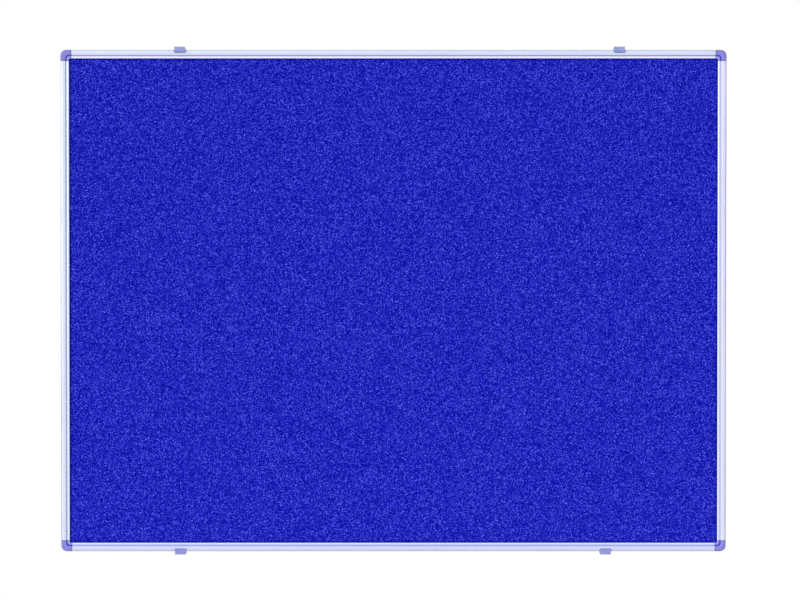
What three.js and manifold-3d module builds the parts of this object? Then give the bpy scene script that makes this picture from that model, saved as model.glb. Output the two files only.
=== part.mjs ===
import * as THREE from 'three';
import { mergeVertices } from 'three/addons/utils/BufferGeometryUtils.js';
import Module from 'manifold-3d';

// A wall hung pinboard: a felt faced panel in a frame of hollow aluminium rails,
// with moulded corners and four clips that slide along the top and bottom rails.
//
// Lengths are in millimetres. X runs along the board, Z is up, the wall is the plane
// y = 0 and the front of the board faces -Y. The origin is the middle of the board, on the wall.
// Sections are drawn in (u, w): u is the distance in from the frame's outer edge,
// and w is the distance out from the wall.

const wasm = await Module();
wasm.setup();

const degree = Math.PI / 180;

// Panel, and its layers from the wall side to the front
const panelWidth = 1200;
const panelHeight = 900;
const backThickness = 1;
const coreThickness = 9;
const feltThickness = 1.6;
const glueLine = 0.2;
const panelFit = 0.3;

// Felt, pressed thinner where the frame's lip covers it
const feltPressedThickness = 1.2;
const feltShelf = 1;
const feltSlope = 0.4;
const feltCornerRadius = 5;

// Rail section
const railWall = 1.2;
const shoulderRadius = 1.5;
const bandWidth = 9;
const bandEndSlope = 18 * degree;
const grooveWidth = 2.7;
const grooveDepth = 1.35;
const grooveTaper = 0.2;
const beadWidth = 4.1;
const beadCrown = 1.1;
const beadStep = 0.4;
const beadNose = 0.8;
const lipWall = 1;
const lipCover = 7.1;
const rearLip = 6;

// Groove in a rail's outer side, which the wall clips run in
const trackDepth = 1;
const trackWidth = 2.4;
const trackTaper = 0.4;
const trackRise = 6.5;

// Corner, with the radius that each line of the section turns at
const cornerArm = 20;
const cornerFit = 0.3;
const outerTurn = 10.8;
const grooveTurn = 4.5;
const lipTurn = 3.6;
const channelTurn = 0.6;

// Spigots that the corner pushes into the rails
const spigotLength = 22;
const spigotRoot = 3;
const spigotFit = 0.3;
const spigotWall = 1.4;
const spigotBase = 3.5;
const spigotChamfer = 0.5;

// Pocket in the back of the corner, and the ribs across it
const pocketWall = 1.8;
const pocketDepth = 11;
const pocketRib = 1.2;

// Corner screws
const screwInset = 10;
const screwHeadRadius = 2.6;
const screwHeadHeight = 1.7;
const screwHeadEdge = 0.6;
const screwShankRadius = 1.25;
const screwShankLength = 7.5;
const screwTip = 1.6;
const screwFit = 0.2;
const screwSeat = 0.1;
const crossWidth = 0.8;
const crossLength = 3;
const crossDepth = 1;

// Wall clips
const clipWidth = 19;
const clipFit = 0.3;
const clipPlate = 2.2;
const clipTail = 16;
const clipStand = 5.6;
const clipReach = 5.4;
const clipLip = 1.6;
const clipEdgeRadius = 0.8;
const clipChamfer = 0.4;
const clipWall = 1.5;
const ridgeWidth = 2.8;
const ridgeHeight = 0.5;
const ridgePeakShare = 0.6;
const earStart = 0.6;
const earReach = 2;
const earLength = 3.8;
const earFlat = 1.2;
const gripWidth = 7.6;
const gripLength = 3;
const gripInset = 0.9;
const gripDepth = 0.5;
const wallScrewRadius = 2.25;
const wallScrewHeadRadius = 4.2;
const wallScrewPlace = 7;
const wallScrewFlat = 0.4;

// Where the clips stand along the rails, each from the nearer end of the board
const topLeftClipInset = 218.5;
const topRightClipInset = 195.8;
const bottomLeftClipInset = 218.4;
const bottomRightClipInset = 220.3;

// How far cutting tools run past what they cut
const overrun = 1;

// Points of an outline that lie closer than this are one point
const samePlace = 0.001;

// Fineness of curves
const curveSteps = 4;
const cornerSteps = 10;
const holeSides = 16;
const screwSides = 20;

// Places across the section, from the frame's outer edge
const faceWidth = bandWidth + grooveWidth + beadWidth;
const channelWall = faceWidth - lipCover;
const chamberEnd = channelWall - railWall;
const panelEdge = channelWall + panelFit;

// The whole board
const boardWidth = panelWidth + 2 * panelEdge;
const boardHeight = panelHeight + 2 * panelEdge;
const halfWidth = boardWidth / 2;
const halfHeight = boardHeight / 2;

// Places out from the wall
const railRear = clipPlate + clipFit;
const channelFloor = railRear + railWall;
const panelRear = channelFloor + panelFit;
const coreRear = panelRear + backThickness + glueLine;
const feltRear = coreRear + coreThickness + glueLine;
const feltFront = feltRear + feltThickness;
const lipUnder = feltFront + panelFit;
const grooveFloor = lipUnder + lipWall;
const bandEdge = grooveFloor + grooveDepth;
const trackCentre = railRear + trackRise;

// The band is a shallow arc that leaves the rounded shoulder without a kink
const bandStart = shoulderRadius * (1 - Math.sin(bandEndSlope));
const bandRadius = (bandWidth - bandStart) / (2 * Math.sin(bandEndSlope));
const bandCentreU = (bandStart + bandWidth) / 2;
const bandCentreW = bandEdge - bandRadius * Math.cos(bandEndSlope);
const shoulderW = bandEdge - shoulderRadius * Math.cos(bandEndSlope);
const railFront = bandCentreW + bandRadius;
const beadSpring = railFront - beadStep - beadCrown;

// Materials
const anodised = new THREE.MeshStandardMaterial({ color: 0xdde2f4, roughness: 0.38, metalness: 0.85 });
const cornerPlastic = new THREE.MeshStandardMaterial({ color: 0x958ce2, roughness: 0.5, metalness: 0 });
const clipPlastic = new THREE.MeshStandardMaterial({ color: 0x929fdc, roughness: 0.5, metalness: 0 });
const felt = new THREE.MeshStandardMaterial({ color: 0x252ab9, roughness: 0.95, metalness: 0 });
const softboard = new THREE.MeshStandardMaterial({ color: 0xa98f68, roughness: 0.95, metalness: 0 });
const hardboard = new THREE.MeshStandardMaterial({ color: 0x7a5638, roughness: 0.8, metalness: 0 });
const zinc = new THREE.MeshStandardMaterial({ color: 0xb9bcc2, roughness: 0.4, metalness: 0.9 });

// Maps a section drawn in (u, w) and drawn out along its third axis to a side of the
// frame, where x runs along the rail, z runs in from the outer edge and y is -w.
const sectionToSide = new THREE.Matrix4().makeBasis(
  new THREE.Vector3(0, 0, 1),
  new THREE.Vector3(0, -1, 0),
  new THREE.Vector3(1, 0, 0),
);

// Maps an outline drawn in the board's plane and drawn out along its third axis to
// the same plane seen from the front, standing out from the wall.
const outlineToFront = new THREE.Matrix4().makeBasis(
  new THREE.Vector3(1, 0, 0),
  new THREE.Vector3(0, 0, 1),
  new THREE.Vector3(0, -1, 0),
);

function toSolid(geometry) {
  const bare = geometry.clone();
  bare.deleteAttribute('normal');
  bare.deleteAttribute('uv');
  const merged = mergeVertices(bare);
  return new wasm.Manifold(new wasm.Mesh({
    numProp: 3,
    vertProperties: merged.attributes.position.array,
    triVerts: Uint32Array.from(merged.index.array),
  }));
}

function toMesh(solid, material, name) {
  const { vertProperties, triVerts } = solid.getMesh();
  const geometry = new THREE.BufferGeometry();
  geometry.setAttribute('position', new THREE.BufferAttribute(vertProperties, 3));
  geometry.setIndex(new THREE.BufferAttribute(triVerts, 1));
  geometry.computeVertexNormals();
  const mesh = new THREE.Mesh(geometry, material);
  mesh.name = name;
  return mesh;
}

// The points of an outline, where an arc that starts on a line's end adds no second point
function pointsOf(path) {
  const points = path.getPoints(curveSteps);
  return points.filter((point, index) => point.distanceTo(points.at(index - 1)) > samePlace);
}

// The outline as straight lines, wound anticlockwise so that its holes are wound against it
function straightened(outline) {
  const points = pointsOf(outline);
  if (THREE.ShapeUtils.isClockWise(points)) {
    points.reverse();
  }
  const shape = new THREE.Shape(points);
  shape.holes = outline.holes.map((hole) => new THREE.Path(pointsOf(hole)));
  return shape;
}

// A section drawn in (u, w), run along a side from one place to another.
// Its ends may be chamfered without making the section any larger.
function run(section, from, to, chamfer = 0) {
  const geometry = new THREE.ExtrudeGeometry(straightened(section), {
    depth: to - from - 2 * chamfer,
    bevelEnabled: chamfer > 0,
    bevelThickness: chamfer,
    bevelSize: chamfer,
    bevelOffset: -chamfer,
    bevelSegments: 1,
  });
  geometry.translate(0, 0, from + chamfer);
  geometry.applyMatrix4(sectionToSide);
  return toSolid(geometry);
}

// An outline in the board's plane, stood out from one height above the wall to another.
// A slope draws its front edge in.
function stand(outline, from, to, slope = 0) {
  const geometry = new THREE.ExtrudeGeometry(straightened(outline), {
    depth: to - from - 2 * slope,
    bevelEnabled: slope > 0,
    bevelThickness: slope,
    bevelSize: slope,
    bevelOffset: -slope,
    bevelSegments: 1,
  });
  geometry.translate(0, 0, from + slope);
  geometry.applyMatrix4(outlineToFront);
  return toSolid(geometry);
}

function rectangle(left, low, right, high) {
  return new THREE.Shape([
    new THREE.Vector2(left, low),
    new THREE.Vector2(right, low),
    new THREE.Vector2(right, high),
    new THREE.Vector2(left, high),
  ]);
}

// A round bar or hole on an axis square to the wall. Its profile is a list of
// [radius, height above the wall] pairs that starts and ends on the axis.
function turned(profile, x, u, sides) {
  const points = profile.map(([radius, w]) => new THREE.Vector2(radius, w));
  const geometry = new THREE.LatheGeometry(points, sides);
  geometry.rotateX(Math.PI);
  geometry.translate(x, 0, u);
  return toSolid(geometry);
}

// The visible face, from the outer side over the band and the groove to the bead's nose
function drawFace(path) {
  path.lineTo(0, shoulderW);
  path.absarc(shoulderRadius, shoulderW, shoulderRadius, Math.PI, Math.PI / 2 + bandEndSlope, true);
  path.absarc(bandCentreU, bandCentreW, bandRadius, Math.PI / 2 + bandEndSlope, Math.PI / 2 - bandEndSlope, true);
  path.lineTo(bandWidth + grooveTaper, grooveFloor);
  path.lineTo(bandWidth + grooveWidth - grooveTaper, grooveFloor);
  path.absellipse(faceWidth - beadWidth / 2, beadSpring, beadWidth / 2, beadCrown, Math.PI, 0, true);
  path.absarc(faceWidth - beadNose, lipUnder + beadNose, beadNose, 0, -Math.PI / 2, true);
}

// The channel that holds the panel's edge, and the lip behind the panel
const channelPoints = [
  new THREE.Vector2(channelWall, lipUnder),
  new THREE.Vector2(channelWall, channelFloor),
  new THREE.Vector2(channelWall + rearLip, channelFloor),
  new THREE.Vector2(channelWall + rearLip, railRear),
];

// The hollow in a rail, one wall's thickness inside its outer side, track and band
function drawChamber() {
  const roofRadius = bandRadius - railWall;
  const startAngle = Math.acos((railWall - bandCentreU) / roofRadius);
  const endAngle = Math.acos((chamberEnd - bandCentreU) / roofRadius);
  const chamber = new THREE.Path();
  chamber.moveTo(railWall, channelFloor);
  chamber.lineTo(railWall, trackCentre - trackWidth / 2 - trackTaper);
  chamber.lineTo(railWall + trackDepth, trackCentre - trackWidth / 2);
  chamber.lineTo(railWall + trackDepth, trackCentre + trackWidth / 2);
  chamber.lineTo(railWall, trackCentre + trackWidth / 2 + trackTaper);
  chamber.absarc(bandCentreU, bandCentreW, roofRadius, startAngle, endAngle, true);
  chamber.lineTo(chamberEnd, channelFloor);
  return chamber;
}

function drawRail() {
  const section = new THREE.Shape();
  section.moveTo(0, railRear);
  section.lineTo(0, trackCentre - trackWidth / 2);
  section.lineTo(trackDepth, trackCentre - trackWidth / 2 + trackTaper);
  section.lineTo(trackDepth, trackCentre + trackWidth / 2 - trackTaper);
  section.lineTo(0, trackCentre + trackWidth / 2);
  drawFace(section);
  channelPoints.forEach((point) => section.lineTo(point.x, point.y));
  section.holes.push(drawChamber());
  return section;
}

// The middle of the spigot, where the corner screw goes
const spigotStart = railWall + trackDepth + spigotFit;
const spigotEnd = chamberEnd - spigotFit;
const spigotFloor = channelFloor + spigotFit;
const spigotTop = bandEdge - railWall - spigotFit;
const screwPlace = (spigotStart + spigotEnd) / 2;

function screwHole(x) {
  const radius = screwShankRadius + screwFit;
  const bottom = railRear - overrun;
  const top = railRear + screwShankLength + screwFit;
  return turned([[0, bottom], [radius, bottom], [radius, top], [0, top]], x, screwPlace, holeSides);
}

// A rail, with a hole through its back near each end for a corner screw
function makeRail(length) {
  const half = length / 2 - cornerArm;
  const holePlace = half - screwInset;
  return run(drawRail(), cornerFit - half, half - cornerFit)
    .subtract(screwHole(-holePlace))
    .subtract(screwHole(holePlace));
}

// The radius at which a line of the face turns the corner
function turnAt(u) {
  const grooveEnd = bandWidth + grooveWidth;
  return u < grooveEnd
    ? THREE.MathUtils.mapLinear(u, 0, grooveEnd, outerTurn, grooveTurn)
    : THREE.MathUtils.mapLinear(u, grooveEnd, faceWidth, grooveTurn, lipTurn);
}

// The line that a point of the section follows round the corner, from one arm's
// end to the other's, in the corner's own plane with the outer corner at zero
function cornerLine(u, turn) {
  const line = [new THREE.Vector2(cornerArm, u)];
  for (let step = 0; step <= cornerSteps; step += 1) {
    const angle = -Math.PI / 2 * (1 + step / cornerSteps);
    line.push(new THREE.Vector2(
      u + turn + turn * Math.cos(angle),
      u + turn + turn * Math.sin(angle),
    ));
  }
  line.push(new THREE.Vector2(u, cornerArm));
  return line;
}

// The rail's face and channel carried round the corner, as a solid moulding
function loftCorner() {
  const face = new THREE.Path();
  face.moveTo(0, railRear);
  drawFace(face);
  const section = [
    ...pointsOf(face).map((point) => ({ point, turn: turnAt(point.x) })),
    ...channelPoints.map((point) => ({ point, turn: channelTurn })),
  ];
  const lines = section.map(({ point, turn }) => cornerLine(point.x, turn));
  const count = section.length;
  const last = lines[0].length - 1;
  const positions = [];
  for (let step = 0; step <= last; step += 1) {
    for (let i = 0; i < count; i += 1) {
      positions.push(lines[i][step].x, -section[i].point.y, lines[i][step].y);
    }
  }
  const triangles = [];
  for (let step = 0; step < last; step += 1) {
    for (let i = 0; i < count; i += 1) {
      const next = (i + 1) % count;
      const here = step * count;
      const there = here + count;
      triangles.push(here + i, here + next, there + next);
      triangles.push(here + i, there + next, there + i);
    }
  }
  const ends = THREE.ShapeUtils.triangulateShape(section.map(({ point }) => point), []);
  const far = last * count;
  ends.forEach(([a, b, c]) => {
    triangles.push(a, b, c);
    triangles.push(far + a, far + c, far + b);
  });
  const geometry = new THREE.BufferGeometry();
  geometry.setAttribute('position', new THREE.Float32BufferAttribute(positions, 3));
  geometry.setIndex(triangles);
  return toSolid(geometry);
}

// A U shaped spigot along a side, with a thick base for the corner screw to bite
function makeSpigot() {
  const section = new THREE.Shape([
    new THREE.Vector2(spigotStart, spigotFloor),
    new THREE.Vector2(spigotEnd, spigotFloor),
    new THREE.Vector2(spigotEnd, spigotTop),
    new THREE.Vector2(spigotEnd - spigotWall, spigotTop),
    new THREE.Vector2(spigotEnd - spigotWall, spigotFloor + spigotBase),
    new THREE.Vector2(spigotStart + spigotWall, spigotFloor + spigotBase),
    new THREE.Vector2(spigotStart + spigotWall, spigotTop),
    new THREE.Vector2(spigotStart, spigotTop),
  ]);
  return run(section, cornerArm - spigotRoot, cornerArm + spigotLength, spigotChamfer)
    .subtract(screwHole(cornerArm + screwInset));
}

// The pocket in the corner's back runs round from arm to arm inside an even wall,
// with one rib across the corner and one across each arm
function makePocket() {
  const end = channelWall - pocketWall;
  const reach = cornerArm - spigotRoot;
  const plan = new THREE.Shape();
  plan.moveTo(reach, pocketWall);
  plan.lineTo(reach, end);
  plan.lineTo(end, end);
  plan.lineTo(end, reach);
  plan.lineTo(pocketWall, reach);
  plan.absarc(outerTurn, outerTurn, outerTurn - pocketWall, Math.PI, Math.PI * 1.5, false);
  const bottom = railRear - overrun;
  const top = railRear + pocketDepth;
  const ribTop = top + overrun;
  const ribBottom = bottom - overrun;
  const shift = pocketRib / Math.SQRT2;
  const cornerRib = new THREE.Shape([
    new THREE.Vector2(0, shift),
    new THREE.Vector2(0, 0),
    new THREE.Vector2(shift, 0),
    new THREE.Vector2(end + shift, end),
    new THREE.Vector2(end + shift, end + shift),
    new THREE.Vector2(end, end + shift),
  ]);
  const ribPlace = (end + reach) / 2;
  const armRib = rectangle(ribPlace, 0, ribPlace + pocketRib, channelWall);
  const otherRib = rectangle(0, ribPlace, channelWall, ribPlace + pocketRib);
  return stand(plan, bottom, top)
    .subtract(stand(cornerRib, ribBottom, ribTop))
    .subtract(stand(armRib, ribBottom, ribTop))
    .subtract(stand(otherRib, ribBottom, ribTop));
}

function makeCorner() {
  const spigot = makeSpigot();
  // The second spigot is the first mirrored across the corner's diagonal
  const across = spigot.mirror([1, 0, -1]);
  return loftCorner().subtract(makePocket()).add(spigot).add(across);
}

function makeScrew() {
  const underHead = railRear - screwSeat;
  const face = underHead - screwHeadHeight;
  const shankEnd = railRear + screwShankLength;
  const blank = turned([
    [0, face],
    [screwHeadRadius - screwHeadEdge, face],
    [screwHeadRadius, face + screwHeadEdge],
    [screwHeadRadius, underHead],
    [screwShankRadius, underHead],
    [screwShankRadius, shankEnd - screwTip],
    [0, shankEnd],
  ], 0, 0, screwSides);
  const bottom = face - overrun;
  const top = face + crossDepth;
  const along = rectangle(-crossLength / 2, -crossWidth / 2, crossLength / 2, crossWidth / 2);
  const over = rectangle(-crossWidth / 2, -crossLength / 2, crossWidth / 2, crossLength / 2);
  return blank.subtract(stand(along, bottom, top)).subtract(stand(over, bottom, top));
}

// The clip's section, drawn round from the wall: a stand beside the rail, a lip over its
// band, a barb in its track and a plate behind it
const clipUnder = railFront + clipFit;
const clipFront = clipUnder + clipLip;

function drawClip() {
  const barbTip = trackDepth - clipFit;
  const barbHalf = trackWidth / 2 - trackTaper - clipFit;
  const barbRoot = barbHalf + trackTaper;
  const section = new THREE.Shape();
  section.moveTo(-clipStand, 0);
  section.lineTo(-clipStand, clipFront - clipEdgeRadius);
  section.absarc(clipEdgeRadius - clipStand, clipFront - clipEdgeRadius, clipEdgeRadius, Math.PI, Math.PI / 2, true);
  section.lineTo(clipReach - ridgeWidth, clipFront);
  section.quadraticCurveTo(
    clipReach - ridgeWidth * (1 - ridgePeakShare),
    clipFront + 2 * ridgeHeight,
    clipReach,
    clipFront - ridgeHeight,
  );
  section.lineTo(clipReach, clipUnder);
  section.lineTo(-clipFit, clipUnder);
  section.lineTo(-clipFit, trackCentre + barbRoot);
  section.lineTo(barbTip, trackCentre + barbHalf);
  section.lineTo(barbTip, trackCentre - barbHalf);
  section.lineTo(-clipFit, trackCentre - barbRoot);
  section.lineTo(-clipFit, clipPlate);
  section.lineTo(clipTail, clipPlate);
  section.lineTo(clipTail, 0);
  return section;
}

// Two ears widen the lip just inside the frame's outer edge
function makeEars() {
  const half = clipWidth / 2;
  const plan = new THREE.Shape([
    new THREE.Vector2(-half - earReach, earStart),
    new THREE.Vector2(half + earReach, earStart),
    new THREE.Vector2(half + earReach, earStart + earFlat),
    new THREE.Vector2(half - clipChamfer, earStart + earLength),
    new THREE.Vector2(clipChamfer - half, earStart + earLength),
    new THREE.Vector2(-half - earReach, earStart + earFlat),
  ]);
  return stand(plan, clipUnder, clipFront);
}

function makeClip() {
  const half = clipWidth / 2;
  const core = rectangle(clipWall - half, clipWall - clipStand, half - clipWall, -clipFit - clipWall);
  const gripEnd = gripInset + gripLength;
  const grip = rectangle(-gripWidth / 2, gripInset, gripWidth / 2, gripEnd);
  const gripTop = clipFront + 2 * ridgeHeight + overrun;
  const screwWay = turned([
    [0, -overrun],
    [wallScrewRadius, -overrun],
    [wallScrewRadius, wallScrewFlat],
    [wallScrewHeadRadius, clipPlate],
    [wallScrewHeadRadius, clipPlate + clipFit],
    [0, clipPlate + clipFit],
  ], 0, wallScrewPlace, screwSides);
  return run(drawClip(), -half, half, clipChamfer)
    .add(makeEars())
    .subtract(stand(core, -overrun, clipUnder))
    .subtract(stand(grip, clipFront - gripDepth, gripTop))
    .subtract(screwWay);
}

function sheetPlan(inset) {
  const halfX = halfWidth - inset;
  const halfZ = halfHeight - inset;
  return rectangle(-halfX, -halfZ, halfX, halfZ);
}

// The felt stands at its full thickness inside the lip, with rounded corners
function makeFelt() {
  const inset = faceWidth + feltShelf;
  const left = inset - halfWidth;
  const low = inset - halfHeight;
  const right = -left;
  const high = -low;
  const radius = feltCornerRadius;
  const raised = new THREE.Shape();
  raised.absarc(right - radius, low + radius, radius, -Math.PI / 2, 0, false);
  raised.absarc(right - radius, high - radius, radius, 0, Math.PI / 2, false);
  raised.absarc(left + radius, high - radius, radius, Math.PI / 2, Math.PI, false);
  raised.absarc(left + radius, low + radius, radius, Math.PI, Math.PI * 1.5, false);
  return stand(sheetPlan(panelEdge), feltRear, feltRear + feltPressedThickness)
    .add(stand(raised, feltFront - feltPressedThickness, feltFront, feltSlope));
}

// A side of the frame: x along the rail, z in from the outer edge
function makeSide(turn, x, z) {
  const side = new THREE.Group();
  side.rotation.y = turn;
  side.position.set(x, 0, z);
  return side;
}

const board = new THREE.Group();

// Sides, with the turn that points z in, the names of their ends and their clips
const sides = [
  {
    name: 'bottom',
    turn: 0,
    x: 0,
    z: -halfHeight,
    length: boardWidth,
    ends: ['left', 'right'],
    clips: [['left', bottomLeftClipInset - halfWidth], ['right', halfWidth - bottomRightClipInset]],
  },
  {
    name: 'top',
    turn: Math.PI,
    x: 0,
    z: halfHeight,
    length: boardWidth,
    ends: ['right', 'left'],
    clips: [['left', halfWidth - topLeftClipInset], ['right', topRightClipInset - halfWidth]],
  },
  {
    name: 'left',
    turn: Math.PI / 2,
    x: -halfWidth,
    z: 0,
    length: boardHeight,
    ends: ['top', 'bottom'],
    clips: [],
  },
  {
    name: 'right',
    turn: -Math.PI / 2,
    x: halfWidth,
    z: 0,
    length: boardHeight,
    ends: ['bottom', 'top'],
    clips: [],
  },
];

const screw = makeScrew();
const clip = makeClip();

sides.forEach((side) => {
  const group = makeSide(side.turn, side.x, side.z);
  group.add(toMesh(makeRail(side.length), anodised, `${side.name}_rail`));
  const screwReach = side.length / 2 - cornerArm - screwInset;
  side.ends.forEach((end, index) => {
    const mesh = toMesh(screw, zinc, `${side.name}_rail_screw_${end}`);
    mesh.position.set(index === 0 ? -screwReach : screwReach, 0, screwPlace);
    group.add(mesh);
  });
  side.clips.forEach(([end, place]) => {
    const mesh = toMesh(clip, clipPlastic, `wall_clip_${side.name}_${end}`);
    mesh.position.x = place;
    group.add(mesh);
  });
  board.add(group);
});

// Corners, each turned so that its arms run in along the two sides
const corners = [
  { name: 'bottom_left', turn: 0, x: -1, z: -1 },
  { name: 'bottom_right', turn: -Math.PI / 2, x: 1, z: -1 },
  { name: 'top_right', turn: Math.PI, x: 1, z: 1 },
  { name: 'top_left', turn: Math.PI / 2, x: -1, z: 1 },
];

const corner = makeCorner();

corners.forEach(({ name, turn, x, z }) => {
  const mesh = toMesh(corner, cornerPlastic, `corner_${name}`);
  mesh.rotation.y = turn;
  mesh.position.set(x * halfWidth, 0, z * halfHeight);
  board.add(mesh);
});

board.add(toMesh(makeFelt(), felt, 'felt_facing'));
board.add(toMesh(stand(sheetPlan(panelEdge), coreRear, coreRear + coreThickness), softboard, 'softboard_core'));
board.add(toMesh(stand(sheetPlan(panelEdge), panelRear, panelRear + backThickness), hardboard, 'backing_sheet'));

export default board;
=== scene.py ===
# A wall hung pinboard: felt on a soft core, in a frame of anodised aluminium rails with
# moulded corners and four clips that slide along the top and bottom rails.
#
# Lengths are in metres. Sections of the frame are drawn in (u, w): u is the distance in
# from the frame's outer edge, and w is the distance out from the wall.

import math
from functools import reduce

import bmesh
import bpy
from mathutils import Matrix, Vector, noise


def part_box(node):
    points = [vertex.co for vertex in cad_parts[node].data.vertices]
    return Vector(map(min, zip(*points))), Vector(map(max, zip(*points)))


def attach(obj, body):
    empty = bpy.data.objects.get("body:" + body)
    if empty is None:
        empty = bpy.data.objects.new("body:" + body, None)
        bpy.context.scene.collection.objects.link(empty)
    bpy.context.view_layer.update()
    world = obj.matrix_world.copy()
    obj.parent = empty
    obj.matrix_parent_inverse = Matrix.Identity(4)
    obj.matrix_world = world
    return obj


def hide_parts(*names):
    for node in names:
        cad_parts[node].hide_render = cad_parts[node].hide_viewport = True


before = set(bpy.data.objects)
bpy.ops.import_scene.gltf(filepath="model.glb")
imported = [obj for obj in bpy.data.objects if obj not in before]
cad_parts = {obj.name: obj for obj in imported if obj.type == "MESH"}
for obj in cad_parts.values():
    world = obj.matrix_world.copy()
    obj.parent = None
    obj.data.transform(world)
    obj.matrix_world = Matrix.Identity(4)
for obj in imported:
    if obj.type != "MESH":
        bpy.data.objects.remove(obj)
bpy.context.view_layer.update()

mm = 0.001

# Outline of the frame, from its rails
rail_low, rail_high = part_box("top_rail")
upright_low, upright_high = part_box("left_rail")
half_width = -upright_low.x
half_height = rail_high.z
face_width = rail_high.z - rail_low.z
rail_rear = -rail_high.y
rail_front = -rail_low.y
rail_half_length = rail_high.x
upright_half_length = upright_high.z

# Panel, from its sheets
felt_low, felt_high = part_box("felt_facing")
felt_rear = -felt_high.y
felt_front = -felt_low.y
panel_half_width = felt_high.x
panel_half_height = felt_high.z

# Rail section
rail_wall = 1.2 * mm
shoulder_radius = 1.5 * mm
band_width = 9.0 * mm
band_end_slope = math.radians(18)
groove_width = 2.7 * mm
groove_depth = 1.35 * mm
groove_taper = 0.2 * mm
bead_width = 4.1 * mm
bead_crown = 1.1 * mm
bead_step = 0.4 * mm
bead_nose = 0.8 * mm
lip_wall = 1.0 * mm
lip_cover = 7.1 * mm
rear_lip = 6.0 * mm
lip_fit = 0.3 * mm

# Groove in the rail's outer side, which the clips run in
track_depth = 1.0 * mm
track_width = 2.4 * mm
track_taper = 0.4 * mm
track_rise = 6.5 * mm

# Corner. Its ends are rounded in steps, each a share of the rounding inwards and outwards.
corner_arm = 20.0 * mm
outer_turn = 10.8 * mm
groove_turn = 4.5 * mm
lip_turn = 3.4 * mm
channel_turn = 0.6 * mm
corner_end_round = 0.3 * mm
corner_end_shares = ((0.35, 0.75), (0.65, 0.25))

# Spigots that the corner pushes into the rails
spigot_length = 22.0 * mm
spigot_root = 3.0 * mm
spigot_fit = 0.3 * mm
spigot_wall = 1.4 * mm
spigot_base = 3.5 * mm

# Pocket in the corner's back
pocket_wall = 1.8 * mm
pocket_depth = 11.0 * mm
pocket_rib = 1.2 * mm

# Corner screws
screw_inset = 10.0 * mm
screw_head_radius = 2.6 * mm
screw_head_height = 1.7 * mm
screw_head_round = 0.9 * mm
screw_shank_radius = 1.25 * mm
screw_shank_length = 7.5 * mm
screw_tip = 1.6 * mm
screw_seat = 0.1 * mm
screw_fit = 0.2 * mm
cross_width = 0.8 * mm
cross_length = 3.0 * mm
cross_depth = 1.0 * mm
cross_draft = 0.7

# Wall clips
clip_half = 9.5 * mm
clip_fit = 0.3 * mm
clip_plate = 2.2 * mm
clip_tail = 16.0 * mm
clip_stand = 5.6 * mm
clip_reach = 5.4 * mm
clip_lip = 1.6 * mm
clip_edge_radius = 0.8 * mm
clip_wall = 1.5 * mm
clip_round = 0.18 * mm
ridge_width = 2.8 * mm
ridge_height = 0.47 * mm
ridge_peak_share = 0.6
ear_start = 0.6 * mm
ear_reach = 2.0 * mm
ear_length = 3.8 * mm
ear_flat = 1.2 * mm
grip_width = 7.6 * mm
grip_length = 3.0 * mm
grip_inset = 0.9 * mm
grip_depth = 0.5 * mm
wall_screw_radius = 2.25 * mm
wall_screw_head_radius = 4.2 * mm
wall_screw_place = 7.0 * mm
wall_screw_flat = 0.4 * mm

# Where a clip's tone changes: on its rim, with painted shade on its rounded edges, and along
# the edge of its lip, painted as a shadow on the top clips; the last share of that edge has the full
# tone
rim_width = 1.6 * mm
lip_edge_width = 1.8 * mm
lip_edge_full_share = 0.6

# Felt
felt_pressed_step = 0.4 * mm
felt_rise_width = 3.2 * mm
felt_dark_edge = 4.0 * mm
felt_corner_radius = 5.0 * mm
felt_columns = 340
felt_rows = 255
felt_edge_lines = 18
felt_edge_margin = 16.0 * mm
felt_wave_height = 0.05 * mm
felt_wave_length = 140.0 * mm
felt_tuft_height = 0.07 * mm
felt_tuft_length = 9.0 * mm
felt_fibre_turns = (0.1, 0.7, 1.2, 1.7, 2.3, 2.8)

# Places worked out from the sizes above
channel_wall = face_width - lip_cover
channel_floor = rail_rear + rail_wall
chamber_end = channel_wall - rail_wall
lip_under = felt_front + lip_fit
groove_floor = lip_under + lip_wall
band_edge = groove_floor + groove_depth
track_centre = rail_rear + track_rise
track_low = track_centre - track_width / 2
track_high = track_centre + track_width / 2
band_start = shoulder_radius * (1 - math.sin(band_end_slope))
band_radius = (band_width - band_start) / (2 * math.sin(band_end_slope))
band_centre_u = (band_start + band_width) / 2
band_centre_w = band_edge - band_radius * math.cos(band_end_slope)
shoulder_w = band_edge - shoulder_radius * math.cos(band_end_slope)
bead_spring = rail_front - bead_step - bead_crown
clip_under = rail_front + clip_fit
clip_front = clip_under + clip_lip
ridge_bend = clip_front + 2 * ridge_height
spigot_start = rail_wall + track_depth + spigot_fit
spigot_end = chamber_end - spigot_fit
spigot_floor = channel_floor + spigot_fit
spigot_top = band_edge - rail_wall - spigot_fit
screw_place = (spigot_start + spigot_end) / 2

# How far cutters run past what they cut, and the distance within which points are one
overrun = 1.0 * mm
same_place = 0.002 * mm

# Fineness of curves
shoulder_steps = 8
band_steps = 14
bead_steps = 14
nose_steps = 5
corner_steps = 28
ridge_steps = 8
round_steps = 3
turned_steps = 40
sharp_angle = math.radians(28)
flat_angle = math.radians(0.01)

# Painted light and shade on the rails and corners: levels from painted shade in the groove and on
# the sides to painted highlights on the band's inner edge and the bead, and the widths over which
# the outer edge, the bead's nose and the arm ends are shaded and the band's edge is highlit
groove_shade = 0.0
deep_side_shade = 0.3
side_shade = 0.4
plain_band = 0.6
edge_highlight = 0.9
bead_highlight = 1.0
edge_start = 0.6 * mm
edge_end = 2.6 * mm
nose_shade_width = 0.9 * mm
arm_end_shade_width = 2.0 * mm
edge_highlight_width = 1.4 * mm

# Drawing planes, each as the directions that its first and second numbers run in
across_section = (Vector((0, 0, 1)), Vector((0, -1, 0)))
across_board = (Vector((1, 0, 0)), Vector((0, 0, 1)))
from_axis = (Vector((1, 0, 0)), Vector((0, -1, 0)))


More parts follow.
